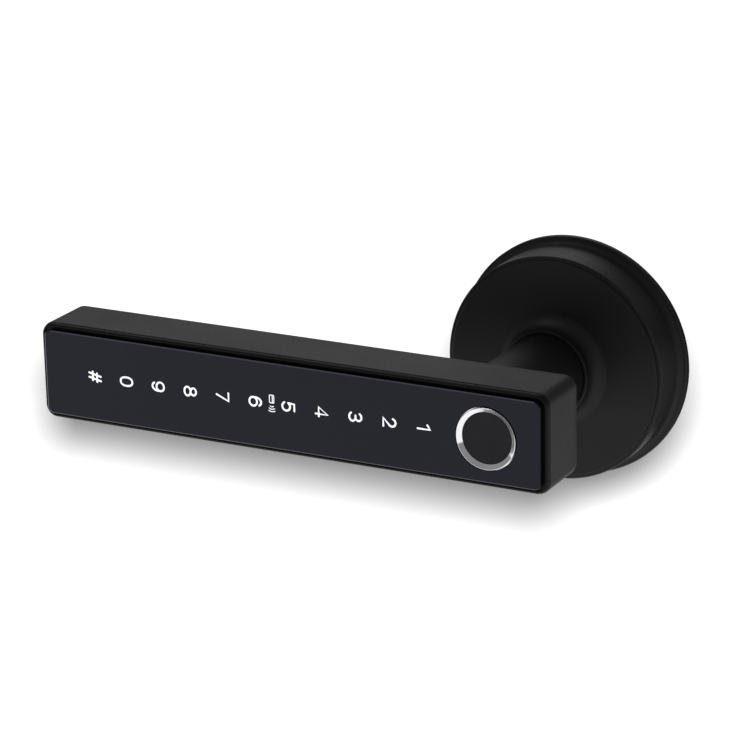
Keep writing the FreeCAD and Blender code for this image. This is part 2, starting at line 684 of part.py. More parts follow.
def motor_holder():
    """Sleeve round the motor, with one flat side for the wires."""
    y = (MOTOR_Y[0] + 5.0, MOTOR_Y[1])
    wire_flat = block((-NECK_BORE, NECK_BORE), y, (-NECK_BORE, -6.6))
    return cut_all(rod(NECK_BORE, y), [rod(MOTOR_RADIUS, y), wire_flat])


def clutch_motor():
    body = rod(MOTOR_RADIUS, (MOTOR_Y[0], MOTOR_Y[1]))
    return body.makeFillet(0.4, edges_at(body, MOTOR_Y[0]))


def clutch_screw():
    return rod(SCREW_RADIUS, (MOTOR_Y[1] + 0.1, SCREW_END_Y))


def clutch_dog():
    """Sliding dog: two ears run in the neck's keyways and two teeth enter the hub."""
    ear_half = KEYWAY_WIDTH / 2 - 0.1
    reach = KEYWAY_RADIUS - 0.2
    ears = block((-reach, reach), DOG_Y, (-ear_half, ear_half)).common(rod(reach, DOG_Y))
    teeth = []
    for side in (-1, 1):
        x = sorted((side * DOG_TOOTH_X[0], side * DOG_TOOTH_X[1]))
        tooth_z = (-DOG_TOOTH_HALF_WIDTH, DOG_TOOTH_HALF_WIDTH)
        teeth.append(block(x, (DOG_Y[1], DOG_TOOTH_END_Y), tooth_z))
    body = fuse_all(rod(DOG_RADIUS, DOG_Y), [ears] + teeth)
    return body.cut(rod(SCREW_RADIUS + 0.1, (DOG_Y[0] - 1.0, DOG_Y[1] + 1.0)))


def spindle_hub():
    """Socket for the spindle, slotted in front for the dog's teeth, with its tail in the plate's bush."""
    tail_y = (HUB_SHOULDER_Y[1], HUB_TAIL_END_Y)
    shoulder = rod(HUB_SHOULDER_RADIUS, HUB_SHOULDER_Y)
    body = rod(HUB_RADIUS, (HUB_FRONT_Y, HUB_SHOULDER_Y[1]))
    body = fuse_all(body, [shoulder, rod(HUB_TAIL_RADIUS, tail_y)])
    cuts = [spindle_bar((SPINDLE_FRONT_Y, HUB_TAIL_END_Y + 1.0))]
    slot_y = (HUB_FRONT_Y - 1.0, DOG_TOOTH_END_Y + 0.4)
    for side in (-1, 1):
        x = sorted((side * HUB_SLOT_INNER_X, side * (HUB_RADIUS + 1.0)))
        cuts.append(block(x, slot_y, (-HUB_SLOT_HALF_WIDTH, HUB_SLOT_HALF_WIDTH)))
    cuts.append(spindle_pin_rod())
    cuts.append(tube(HUB_TAIL_RADIUS + 1.0, CIRCLIP_GROOVE_RADIUS, CIRCLIP_Y))
    return cut_all(body, cuts)


def spindle_bar(y):
    half = SPINDLE_SIDE / 2
    return block((-half, half), y, (-half, half))


def spindle():
    body = spindle_bar((SPINDLE_FRONT_Y, SPINDLE_END_Y))
    body = body.makeChamfer(SPINDLE_TIP_CHAMFER, edges_at(body, SPINDLE_END_Y))
    return body.cut(spindle_pin_rod())


def spindle_pin_rod():
    start = FreeCAD.Vector(-HUB_RADIUS, SPINDLE_PIN_Y, 0)
    return Part.makeCylinder(SPINDLE_PIN_RADIUS, 2 * HUB_RADIUS, start, FreeCAD.Vector(1, 0, 0))


def spindle_pin():
    return spindle_pin_rod().common(rod(HUB_RADIUS, (SPINDLE_PIN_Y - 2.0, SPINDLE_PIN_Y + 2.0)))


def spindle_circlip():
    body = tube(CIRCLIP_RADIUS, CIRCLIP_GROOVE_RADIUS, CIRCLIP_Y)
    return body.cut(block((-2.0, 2.0), CIRCLIP_Y, (0.0, 12.0)))


# --- Rose and door plate ---

def rose_cover():
    lip_back_y = COLLAR_TIP_Y + COLLAR_LIP_DEPTH
    tip_edge = (COLLAR_TIP_RADIUS - COLLAR_EDGE_ROUND, COLLAR_TIP_Y + COLLAR_EDGE_ROUND)
    face_edge = (ROSE_FACE_RADIUS - 0.4, ROSE_FACE_Y + 0.4)
    ledge_edge = (ROSE_RADIUS - 0.3, ROSE_LEDGE_Y + 0.3)
    foot_r = ROSE_RADIUS + 0.1
    foot_centre = (foot_r + FOOT_FILLET, ROSE_FLANGE_FRONT_Y - FOOT_FILLET)
    rim_round = ROSE_FLANGE_RADIUS - foot_centre[0]
    rim_centre = (foot_centre[0], ROSE_FLANGE_FRONT_Y + rim_round)
    inner_r = ROSE_RADIUS - ROSE_SIDE_WALL
    inner_face_y = ROSE_FACE_Y + ROSE_FACE_WALL
    body = turned([
        (COLLAR_LIP_BORE, COLLAR_TIP_Y),
        (tip_edge[0], COLLAR_TIP_Y),
        (quarter_middle(tip_edge, COLLAR_EDGE_ROUND, 1, -1), (COLLAR_TIP_RADIUS, tip_edge[1])),
        (COLLAR_FLARE_MIDDLE, (COLLAR_BASE_RADIUS, ROSE_FACE_Y)),
        (face_edge[0], ROSE_FACE_Y),
        (quarter_middle(face_edge, 0.4, 1, -1), (ROSE_FACE_RADIUS, face_edge[1])),
        (ROSE_FACE_RADIUS, ROSE_LEDGE_Y),
        (ledge_edge[0], ROSE_LEDGE_Y),
        (quarter_middle(ledge_edge, 0.3, 1, -1), (ROSE_RADIUS, ledge_edge[1])),
        (foot_r, foot_centre[1]),
        (quarter_middle(foot_centre, FOOT_FILLET, -1, 1), (foot_centre[0], ROSE_FLANGE_FRONT_Y)),
        (quarter_middle(rim_centre, rim_round, 1, -1), (ROSE_FLANGE_RADIUS, rim_centre[1])),
        (ROSE_FLANGE_RADIUS, ROSE_BACK_Y - 0.3),
        (ROSE_FLANGE_RADIUS - 0.3, ROSE_BACK_Y),
        (inner_r, ROSE_BACK_Y),
        (inner_r, inner_face_y),
        (COLLAR_BORE, inner_face_y),
        (COLLAR_BORE, lip_back_y),
        (COLLAR_LIP_BORE, lip_back_y),
    ])
    places = [round_place(PLATE_SCREW_RADIUS, angle) for angle in PLATE_SCREW_ANGLES]
    boss_y = (inner_face_y - 0.5, ROSE_BACK_Y)
    hole_y = (PLATE_SCREW_HOLE_END_Y, ROSE_BACK_Y + 1.0)
    body = fuse_all(body, [rod(PLATE_BOSS_RADIUS, boss_y, x, z) for x, z in places])
    return cut_all(body, [rod(PLATE_SCREW_SHANK_RADIUS, hole_y, x, z) for x, z in places])


def neck_bush():
    bore = NECK_RADIUS + RUNNING_GAP
    flange_front_y = ROSE_FACE_Y + ROSE_FACE_WALL
    flange_y = (flange_front_y, flange_front_y + BUSH_FLANGE_THICKNESS)
    sleeve = tube(COLLAR_BORE, bore, (COLLAR_TIP_Y + COLLAR_LIP_DEPTH, flange_y[1]))
    return fuse_all(sleeve, [tube(BUSH_FLANGE_RADIUS, bore, flange_y)])


def wave_washer():
    """Flat here; the real one is wavy."""
    front_y = ROSE_FACE_Y + ROSE_FACE_WALL + BUSH_FLANGE_THICKNESS
    return tube(BUSH_FLANGE_RADIUS, NECK_RADIUS + 0.4, (front_y, front_y + WASHER_THICKNESS))


def offset_deg(sideways, radius):
    """Angle about the spindle's axis that moves a point at this radius sideways that far."""
    return math.degrees(math.asin(sideways / radius))


def rest_pin_angle():
    return 90.0 - offset_deg(LUG_HALF_WIDTH + PIN_RADIUS + PIN_GAP, PIN_CIRCLE)


def return_spring():
    """Nearly two turns of round wire: one tang bears on the rest pin, the other on the cam's lug."""
    fixed_angle = rest_pin_angle() - offset_deg(PIN_RADIUS + SPRING_WIRE_RADIUS + 0.1, PIN_CIRCLE)
    moving_angle = 90.0 + offset_deg(LUG_HALF_WIDTH + SPRING_WIRE_RADIUS + 0.2, SPRING_CATCH_RADIUS)
    turns = 2.0 - (moving_angle - fixed_angle) / 360.0
    helix = Part.makeHelix(SPRING_PITCH, SPRING_PITCH * turns, SPRING_RADIUS)
    start = FreeCAD.Vector(SPRING_RADIUS, 0, 0)
    section = Part.Wire(Part.makeCircle(SPRING_WIRE_RADIUS, start, Y_AXIS))
    coil = Part.Wire(helix.Edges).makePipeShell([section], True, True)
    coil.rotate(ORIGIN, FreeCAD.Vector(1, 0, 0), -90)
    coil.rotate(ORIGIN, Y_AXIS, -fixed_angle)
    coil.translate(FreeCAD.Vector(0, SPRING_FIRST_Y, 0))
    body = coil
    for angle, y in ((fixed_angle, SPRING_FIRST_Y), (moving_angle, SPRING_FIRST_Y + SPRING_PITCH * turns)):
        foot = FreeCAD.Vector(SPRING_RADIUS - 0.2, y, 0)
        length = TANG_TIP - SPRING_RADIUS + 0.2
        tang = Part.makeCylinder(SPRING_WIRE_RADIUS * 0.97, length, foot, FreeCAD.Vector(1, 0, 0))
        tang.rotate(ORIGIN, Y_AXIS, -angle)
        body = body.fuse(tang)
    return body


def stop_pins():
    """One pin each side of the lug: at the lever's rest and at the end of its travel."""
    pins = []
    for angle in (rest_pin_angle(), 180.0 + LEVER_TRAVEL_DEG - rest_pin_angle()):
        x, z = round_place(PIN_CIRCLE, angle)
        pins.append(rod(PIN_RADIUS, (PIN_FRONT_Y, PLATE_BACK_Y), x, z))
    return Part.makeCompound(pins)


def mounting_plate():
    y = (ROSE_BACK_Y, PLATE_BACK_Y)
    holes = [rod(BUSH_OUTER_RADIUS, y)]
    for x in (-FIXING_SPACING / 2, FIXING_SPACING / 2):
        holes.append(rod(FIXING_SHOULDER_RADIUS, y, x))
    holes += stop_pins().Solids
    holes += [plate_screw(angle) for angle in PLATE_SCREW_ANGLES]
    holes.append(cable_slot(0.0, y))
    return cut_all(rod(ROSE_RADIUS, y), holes)


def cable_slot(growth, y):
    """Hole for the cable to the lock's inside half."""
    half = CABLE_SLOT_WIDTH / 2 + growth
    z = (CABLE_SLOT_TOP_Z - CABLE_SLOT_HEIGHT - growth, CABLE_SLOT_TOP_Z + growth)
    return rounded_block((-half, half), y, z, 1.0)


def plate_screw(angle):
    x, z = round_place(PLATE_SCREW_RADIUS, angle)
    head = cone(PLATE_SCREW_SHANK_RADIUS, PLATE_SCREW_HEAD_RADIUS, (ROSE_BACK_Y, PLATE_BACK_Y), x, z)
    return head.fuse(rod(PLATE_SCREW_SHANK_RADIUS, (PLATE_SCREW_TIP_Y, ROSE_BACK_Y), x, z))


def plate_screws():
    screws = []
    for angle in PLATE_SCREW_ANGLES:
        x, z = round_place(PLATE_SCREW_RADIUS, angle)
        drive = hexagon(1.1, (PLATE_BACK_Y - 1.0, PLATE_BACK_Y + 0.1), x, z)
        screws.append(plate_screw(angle).cut(drive))
    return Part.makeCompound(screws)


def fixing_posts():
    """Posts with a foot against the plate, a shoulder through plate and gasket, and a tapped end."""
    posts = []
    for x in (-FIXING_SPACING / 2, FIXING_SPACING / 2):
        post = rod(FIXING_POST_RADIUS, (0.0, FIXING_POST_END_Y), x)
        post = post.makeChamfer(FIXING_POST_CHAMFER, edges_at(post, FIXING_POST_END_Y))
        shoulder = rod(FIXING_SHOULDER_RADIUS, (ROSE_BACK_Y, 0.0), x)
        foot = rod(FIXING_FOOT_RADIUS, (ROSE_BACK_Y - FIXING_FOOT_HEIGHT, ROSE_BACK_Y), x)
        thread = rod(FIXING_THREAD_RADIUS, (FIXING_THREAD_END_Y, FIXING_POST_END_Y + 1.0), x)
        posts.append(fuse_all(post, [shoulder, foot]).cut(thread))
    return Part.makeCompound(posts)


def spindle_bush():
    return tube(BUSH_OUTER_RADIUS, HUB_TAIL_RADIUS + RUNNING_GAP, (BUSH_FRONT_Y, PLATE_BACK_Y))


def door_gasket():
    """Foam pad with holes for the spindle, the posts and the cable."""
    y = (PLATE_BACK_Y, 0.0)
    holes = [rod(CIRCLIP_RADIUS + 0.15, y)]
    for x in (-FIXING_SPACING / 2, FIXING_SPACING / 2):
        holes.append(rod(FIXING_SHOULDER_RADIUS + GASKET_CLEARANCE, y, x))
    holes.append(cable_slot(GASKET_CLEARANCE, y))
    return cut_all(rod(GASKET_RADIUS, y), holes)


SUBPARTS = [
    lever_shell, front_bezel, touch_panel, panel_adhesive, fingerprint_ring, fingerprint_sensor,
    sensor_board, light_frame, key_light_guides, key_leds, touch_board, card_antenna,
    control_board, board_chips, board_connectors, buzzer, board_screws, panel_ribbon,
    sensor_ribbon, motor_wires, power_socket, bezel_screws, neck, neck_screws, return_cam,
    neck_circlip, motor_holder, clutch_motor, clutch_screw, clutch_dog, spindle_hub, spindle,
    spindle_pin, spindle_circlip, rose_cover, neck_bush, wave_washer, return_spring, stop_pins,
    mounting_plate, plate_screws, fixing_posts, spindle_bush, door_gasket,
]

os.makedirs("parts", exist_ok=True)
for make in SUBPARTS:
    shape = make()
    name = make.__name__
    shape.exportStep("parts/" + name + ".step")
    print(name, len(shape.Solids), "solids", round(shape.Volume, 1), "mm3", shape.isValid())
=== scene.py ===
import json
import math

import bmesh
import bpy
from mathutils import Matrix, Quaternion, Vector


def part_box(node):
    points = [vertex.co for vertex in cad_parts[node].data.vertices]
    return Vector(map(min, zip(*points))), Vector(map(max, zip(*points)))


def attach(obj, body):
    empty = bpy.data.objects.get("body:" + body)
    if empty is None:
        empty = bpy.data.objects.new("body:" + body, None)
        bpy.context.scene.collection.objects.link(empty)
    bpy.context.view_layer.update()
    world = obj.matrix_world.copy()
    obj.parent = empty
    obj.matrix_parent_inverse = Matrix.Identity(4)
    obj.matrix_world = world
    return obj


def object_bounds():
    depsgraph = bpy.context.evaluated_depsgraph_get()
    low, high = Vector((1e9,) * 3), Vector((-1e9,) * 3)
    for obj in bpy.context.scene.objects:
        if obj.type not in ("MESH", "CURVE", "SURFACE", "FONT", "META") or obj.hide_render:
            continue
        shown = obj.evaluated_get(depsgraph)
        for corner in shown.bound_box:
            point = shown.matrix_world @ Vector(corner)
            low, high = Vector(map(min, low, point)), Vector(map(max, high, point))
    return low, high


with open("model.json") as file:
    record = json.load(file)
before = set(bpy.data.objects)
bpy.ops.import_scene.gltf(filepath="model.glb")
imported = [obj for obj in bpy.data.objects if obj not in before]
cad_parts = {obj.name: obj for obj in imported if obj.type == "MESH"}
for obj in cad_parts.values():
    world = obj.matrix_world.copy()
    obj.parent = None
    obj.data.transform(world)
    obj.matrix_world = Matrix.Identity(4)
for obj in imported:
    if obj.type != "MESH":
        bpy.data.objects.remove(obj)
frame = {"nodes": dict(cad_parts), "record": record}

CAD_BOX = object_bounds()
MM = 0.001

# Camera: a long lens, looking down at the glass from the front right
CAMERA_AZIMUTH = math.radians(27.826)
CAMERA_ELEVATION = math.radians(18.633)
CAMERA_ROLL = math.radians(-1.173)
CAMERA_DISTANCE = 0.830
CAMERA_LENS = 157.05
SENSOR_WIDTH = 36.0
CLIP_START = 0.05
CLIP_END = 50.0
AIM_X = -23.48 * MM
AIM_Z = 12.70 * MM

# Floor: far enough below the rose for the lever's end to swing down clear of it
FLOOR_SIZE = 9.0
FLOOR_CELLS = 8
FLOOR_GAP = 79.0 * MM
FLOOR_TONE = 0.80
FLOOR_MOTTLE = 0.985
FLOOR_GLOW = 0.10

# Lights: the key lamp's rise is measured from the camera, and the soft lights shine at the frame's origin
WORLD_TONE = (0.98, 0.98, 1.0)
WORLD_STRENGTH = 0.27
KEY_RISE = 31.0 * MM
KEY_RADIUS = 31.0 * MM
KEY_POWER = 101.0
TOP_PLACE = (-0.55, 0.95, 0.85)
TOP_SIZE = (1.1, 0.8)
TOP_POWER = 2.95
FRONT_PLACE = (-0.53, -0.38, 1.0)
FRONT_SIZE = (0.5, 0.4)
FRONT_POWER = 1.6

# Black flag beside the rose: a dark sheet seen only in reflections, a painted shaded reflection on the
# rose's rim
FLAG_OVERLAP = 6 * MM
FLAG_REACH = 20 * MM
FLAG_BEHIND = 17 * MM
FLAG_TOP = 22 * MM
FLAG_CELL = 1.0 * MM

# Symbols on the glass: lengths in millimetres
SYMBOL_STROKE = 0.53
SYMBOL_RISE = 0.55
SYMBOL_THICKNESS = 0.012
STROKE_STEP = 0.003
CARD_STROKE = 0.24
CARD_RISE = 0.43
LAMP_LENGTH = 0.8
ARC_STEP_DEGREES = 9
OVAL_STEPS = 48
END_STEPS = 7
CORNER_LIMIT = 0.85


# ---------------------------------------------------------------- materials

class Finish:
    """A material with one Principled shader, and short calls for the nodes it needs. Texture places are the
    object's own coordinates in metres, so a scale is the number of features in a metre."""

    def __init__(self, name, base, roughness, metallic=0.0, specular=0.5):
        self.material = bpy.data.materials.new(name)
        self.material.use_nodes = True
        self.nodes = self.material.node_tree.nodes
        self.links = self.material.node_tree.links
        self.shader = self.nodes["Principled BSDF"]
        self.shader.inputs["Base Color"].default_value = (*base, 1.0)
        self.shader.inputs["Roughness"].default_value = roughness
        self.shader.inputs["Metallic"].default_value = metallic
        self.shader.inputs["Specular IOR Level"].default_value = specular
        self.places = self.node("ShaderNodeTexCoord").outputs["Object"]
        self.relief = None

    def node(self, kind, **settings):
        made = self.nodes.new(kind)
        for key, value in settings.items():
            setattr(made, key, value)
        return made

    def feed(self, socket, value):
        if isinstance(value, bpy.types.NodeSocket):
            self.links.new(value, socket)
        else:
            socket.default_value = value

    def set(self, **values):
        for key, value in values.items():
            self.feed(self.shader.inputs[key.replace("_", " ")], value)

    def math(self, operation, a, b=0.0):
        made = self.node("ShaderNodeMath", operation=operation)
        self.feed(made.inputs[0], a)
        self.feed(made.inputs[1], b)
        return made.outputs[0]

    def stretched(self, scale):
        made = self.node("ShaderNodeMapping")
        made.inputs["Scale"].default_value = scale
        self.feed(made.inputs["Vector"], self.places)
        return made.outputs["Vector"]

    def noise(self, scale, detail=2.0, rough=0.5, places=None):
        made = self.node("ShaderNodeTexNoise")
        made.inputs["Scale"].default_value = scale
        made.inputs["Detail"].default_value = detail
        made.inputs["Roughness"].default_value = rough
        self.feed(made.inputs["Vector"], places or self.places)
        return made.outputs["Fac"]

    def cells(self, scale):
        made = self.node("ShaderNodeTexVoronoi", feature="F1")
        made.inputs["Scale"].default_value = scale
        self.feed(made.inputs["Vector"], self.places)
        return made.outputs["Distance"]

    def spread(self, value, low, high, from_low=0.3, from_high=0.7):
        """The value's usual run, from_low to from_high, stretched to low to high."""
        made = self.node("ShaderNodeMapRange")
        self.feed(made.inputs["Value"], value)
        made.inputs["From Min"].default_value = from_low
        made.inputs["From Max"].default_value = from_high
        made.inputs["To Min"].default_value = low
        made.inputs["To Max"].default_value = high
        return made.outputs["Result"]

    def colours(self, share, first, second):
        made = self.node("ShaderNodeMix", data_type="RGBA")
        self.feed(made.inputs["Factor"], share)
        for socket, colour in ((made.inputs[6], first), (made.inputs[7], second)):
            if isinstance(colour, bpy.types.NodeSocket):
                self.links.new(colour, socket)
            else:
                socket.default_value = (*colour, 1.0)
        return made.outputs[2]

    def bump(self, height, depth):
        """Adds relief of this depth, in metres."""
        made = self.node("ShaderNodeBump")
        made.inputs["Strength"].default_value = 1.0
        made.inputs["Distance"].default_value = depth
        self.feed(made.inputs["Height"], height)
        if self.relief is not None:
            self.feed(made.inputs["Normal"], self.relief)
        self.relief = made.outputs["Normal"]
        self.feed(self.shader.inputs["Normal"], self.relief)

    def axis_parts(self):
        made = self.node("ShaderNodeSeparateXYZ")
        self.feed(made.inputs["Vector"], self.places)
        return made.outputs["X"], made.outputs["Y"], made.outputs["Z"]


def powder_coat(name):
    """Matt black baked powder: a fine pebbled skin with faint cloudiness."""
    f = Finish(name, (0.006, 0.006, 0.0068), 0.52, specular=0.25)
    cloud = f.noise(38, 3)
    grain = f.noise(1500, 2)
    dark, light = (0.0028, 0.0028, 0.0032), (0.0050, 0.0050, 0.0056)
    f.set(Base_Color=f.colours(f.spread(cloud, 0, 1), dark, light))
    f.set(Roughness=f.math("ADD", f.spread(cloud, 0.48, 0.55), f.spread(grain, -0.03, 0.03)))
    f.bump(f.noise(420, 2), 6e-6)
    f.bump(grain, 5e-6)
    return f


def satin_frame(name):
    """The narrow frame round the glass: satin black with a finer grain than the powder."""
    f = Finish(name, (0.006, 0.006, 0.0065), 0.36, specular=0.11)
    grain = f.noise(2600, 2)
    dark, light = (0.004, 0.004, 0.0045), (0.007, 0.007, 0.0078)
    f.set(Base_Color=f.colours(f.spread(f.noise(90, 3), 0, 1), dark, light))
    f.set(Roughness=f.spread(grain, 0.30, 0.40))
    f.bump(grain, 2e-6)
    return f


def printed_glass(name):
    """Glass with black ink behind it: deep gloss, with a trace of wiping marks and finger grease."""
    f = Finish(name, (0.0018, 0.0028, 0.0110), 0.06, specular=0.2)
    wipes = f.noise(1.0, 4, 0.6, f.stretched((35, 35, 160)))
    grease = f.noise(85, 5, 0.65)
    marks = f.math("MULTIPLY", f.spread(grease, 0, 1, 0.5, 0.75), f.spread(wipes, 0.2, 1))
    f.set(Roughness=f.spread(marks, 0.045, 0.16, 0.0, 1.0))
    f.set(Base_Color=f.colours(marks, (0.0018, 0.0028, 0.0110), (0.0034, 0.0044, 0.0130)))
    f.bump(f.noise(60, 1), 4e-6)
    return f


def turned_chrome(name):
    """Polished chrome on a turned ring: faint circles left by the lathe under the plating."""
    f = Finish(name, (0.80, 0.80, 0.82), 0.10, metallic=1.0)
    low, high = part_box("fingerprint_ring")
    centre = (low + high) / 2
    x, _, z = f.axis_parts()
    across = f.math("SUBTRACT", x, centre.x)
    up = f.math("SUBTRACT", z, centre.z)
    far = f.math("SQRT", f.math("ADD", f.math("MULTIPLY", across, across), f.math("MULTIPLY", up, up)))
    circles = f.math("SINE", f.math("MULTIPLY", far, 2 * math.pi / (0.11 * MM)))
    f.set(Roughness=f.spread(f.noise(350, 3), 0.07, 0.16))
    dark, light = (0.72, 0.72, 0.74), (0.88, 0.88, 0.89)
    f.set(Base_Color=f.colours(f.spread(f.noise(120, 2), 0, 1), dark, light))
    f.bump(circles, 2.5e-7)
    return f


def sensor_coating(name):
    """Hard satin lacquer over the fingerprint chip, with a fine even grain."""
    f = Finish(name, (0.010, 0.010, 0.012), 0.38, specular=0.14)
    grain = f.cells(5200)
    f.set(Roughness=f.spread(f.noise(160, 4), 0.30, 0.44))
    dark, light = (0.006, 0.006, 0.0075), (0.012, 0.012, 0.0145)
    f.set(Base_Color=f.colours(f.spread(grain, 0, 1, 0.1, 0.7), dark, light))
    f.bump(grain, 1.5e-6)
    return f


def moulded(name, dark, light):
    """Moulded plastic: eroded-die grain and slight flow shading."""
    f = Finish(name, light, 0.42, specular=0.45)
    skin = f.noise(900, 3)
    f.set(Base_Color=f.colours(f.spread(f.noise(70, 3), 0, 1), dark, light))
    f.set(Roughness=f.spread(skin, 0.35, 0.49))
    f.bump(skin, 4e-6)
    return f


def foam(name, dark, light, cell):
    """Closed-cell foam: small cells that show at its face and its cut edge."""
    f = Finish(name, light, 0.85, specular=0.2)
    walls = f.cells(1 / cell)
    f.set(Base_Color=f.colours(f.spread(walls, 0, 1, 0.1, 0.8), light, dark))
    f.set(Roughness=f.spread(f.noise(400, 2), 0.78, 0.95))
    f.bump(walls, 6e-5)
    return f


def plated_steel(name, tone=0.56):
    """Zinc plating: soft grey patches, a faint blue and yellow cast, fine scratches."""
    f = Finish(name, (tone, tone, tone), 0.34, metallic=1.0)
    cast = f.noise(140, 4)
    scratch = f.noise(1.0, 3, 0.6, f.stretched((200, 2400, 2400)))
    warm = (tone * 1.05, tone, tone * 0.90)
    cold = (tone * 0.84, tone * 0.91, tone)
    f.set(Base_Color=f.colours(f.spread(cast, 0, 1), warm, cold))
    f.set(Roughness=f.math("ADD", f.spread(cast, 0.26, 0.38), f.spread(scratch, -0.05, 0.07)))
    f.bump(scratch, 1.5e-6)
    return f


def drawn_steel(name, tone, lines=(2600, 160, 2600)):
    """Drawn or ground steel: fine lines along the work, with painted shade that makes the hollows darker, a
    film of oil.
    """
    f = Finish(name, (tone, tone, tone), 0.30, metallic=1.0)
    drawn = f.noise(1.0, 3, 0.6, f.stretched(lines))
    oil = f.noise(220, 4)
    dark = (tone * 0.7, tone * 0.7, tone * 0.72)
    # painted shade: the colour goes darker where the drawn lines sink into hollows
    f.set(Base_Color=f.colours(f.spread(drawn, 0, 1), dark, (tone, tone, tone * 1.02)))
    f.set(Roughness=f.math("ADD", f.spread(oil, 0.2, 0.34), f.spread(drawn, -0.04, 0.06)))
    f.bump(drawn, 2e-6)
    return f


def sintered(name):
    """Pressed and sintered steel: dull, with open pores."""
    f = Finish(name, (0.26, 0.26, 0.27), 0.5, metallic=1.0)
    pores = f.cells(2600)
    dark, light = (0.09, 0.09, 0.10), (0.30, 0.30, 0.31)
    f.set(Base_Color=f.colours(f.spread(pores, 0, 1, 0.05, 0.5), dark, light))
    f.set(Roughness=f.spread(f.noise(500, 3), 0.42, 0.6))
    f.bump(pores, 1.5e-5)
    return f


def warm_metal(name, dark, light):
    """Brass or copper: turned lines and slight tarnish."""
    f = Finish(name, light, 0.28, metallic=1.0)
    tarnish = f.noise(260, 4)
    f.set(Base_Color=f.colours(f.spread(tarnish, 0, 1), dark, light))
    f.set(Roughness=f.spread(tarnish, 0.2, 0.4))
    f.bump(f.noise(1.0, 2, 0.5, f.stretched((300, 3800, 300))), 2e-6)
    return f


def circuit_board(name):
    """Green solder mask over copper tracks: the tracks stand a little proud and look paler."""
    f = Finish(name, (0.01, 0.09, 0.035), 0.3, specular=0.5)
    tracks = f.node("ShaderNodeTexBrick", offset=0.37)
    rotate = f.node("ShaderNodeMapping")
    rotate.inputs["Rotation"].default_value = (math.pi / 2, 0, 0)
    f.feed(rotate.inputs["Vector"], f.places)
    f.feed(tracks.inputs["Vector"], rotate.outputs["Vector"])
    tracks.inputs["Scale"].default_value = 420
    tracks.inputs["Mortar Size"].default_value = 0.055
    tracks.inputs["Mortar Smooth"].default_value = 0.2
    copper = tracks.outputs["Fac"]
    f.set(Base_Color=f.colours(copper, (0.006, 0.060, 0.022), (0.03, 0.20, 0.07)))
    f.set(Roughness=f.spread(f.noise(500, 3), 0.22, 0.4))
    f.bump(copper, 1.5e-5)
    return f


def chip_epoxy(name):
    """Black moulding compound with a dull, sandy skin."""
    f = Finish(name, (0.018, 0.018, 0.018), 0.6, specular=0.4)
    sand = f.noise(4200, 2)
    f.set(Base_Color=f.colours(f.spread(sand, 0, 1), (0.012, 0.012, 0.012), (0.03, 0.03, 0.029)))
    f.set(Roughness=f.spread(sand, 0.5, 0.7))
    f.bump(sand, 5e-6)
    return f


def ribbon_film(name):
    """Amber polyimide film with copper conductors showing through."""
    f = Finish(name, (0.42, 0.20, 0.03), 0.28, specular=0.5)
    _, _, z = f.axis_parts()
    stripes = f.math("SINE", f.math("MULTIPLY", z, 2 * math.pi / (0.8 * MM)))
    amber, copper = (0.36, 0.15, 0.02), (0.62, 0.30, 0.10)
    f.set(Base_Color=f.colours(f.spread(stripes, 0, 1, -0.3, 0.3), amber, copper))
    f.set(Roughness=f.spread(f.noise(300, 3), 0.22, 0.36))
    f.bump(stripes, 8e-6)
    return f


def wire_rubber(name):
    """Red insulation with a soft bloom."""
    f = Finish(name, (0.30, 0.015, 0.012), 0.5, specular=0.4)
    bloom = f.noise(600, 3)
    f.set(Base_Color=f.colours(f.spread(bloom, 0, 1), (0.24, 0.010, 0.008), (0.36, 0.03, 0.025)))
    f.set(Roughness=f.spread(bloom, 0.4, 0.62))
    f.bump(f.noise(1800, 2), 5e-6)
    return f


def clear_plastic(name):
    """Clear light guides with a frosted face."""
    f = Finish(name, (0.88, 0.90, 0.92), 0.25, specular=0.5)
    frost = f.noise(2200, 2)
    f.shader.inputs["Transmission Weight"].default_value = 0.85
    f.shader.inputs["IOR"].default_value = 1.49
    f.set(Base_Color=f.colours(f.spread(frost, 0, 1), (0.80, 0.84, 0.88), (0.93, 0.94, 0.95)))
    f.set(Roughness=f.spread(frost, 0.15, 0.45))
    f.bump(frost, 4e-6)
    return f


def lamp_white(name):
    """Lamp packages: white moulding with a yellow phosphor tint in places."""
    f = Finish(name, (0.85, 0.84, 0.74), 0.4, specular=0.5)
    phosphor = f.cells(700)
    yellow, white = (0.80, 0.70, 0.30), (0.88, 0.88, 0.84)
    f.set(Base_Color=f.colours(f.spread(phosphor, 0, 1, 0.2, 0.6), yellow, white))
    f.set(Roughness=f.spread(f.noise(900, 2), 0.32, 0.5))
    f.bump(phosphor, 1e-5)
    return f


def black_oxide(name):
    """Screws with a black oxide finish, rubbed brighter in patches."""
    f = Finish(name, (0.03, 0.03, 0.03), 0.42, metallic=0.8, specular=0.5)
    rubbed = f.noise(700, 4)
    dark, light = (0.014, 0.014, 0.015), (0.09, 0.09, 0.092)
    f.set(Base_Color=f.colours(f.spread(rubbed, 0, 1, 0.45, 0.75), dark, light))
    f.set(Roughness=f.spread(rubbed, 0.5, 0.32))
    f.bump(rubbed, 4e-6)
    return f


def symbol_ink(name):
    """White symbols lit from behind: a glow that is slightly cool and a little uneven."""
    f = Finish(name, (0.86, 0.88, 0.90), 0.08, specular=0.42)
    glow = f.noise(520, 2)
    f.set(Base_Color=f.colours(f.spread(glow, 0, 1), (0.78, 0.81, 0.86), (0.90, 0.91, 0.92)))
    f.set(Emission_Strength=0.55)
    f.set(Emission_Color=f.colours(f.spread(glow, 0, 1), (0.80, 0.86, 0.95), (1.0, 1.0, 1.0)))
    f.set(Roughness=f.spread(glow, 0.06, 0.12))
    return f


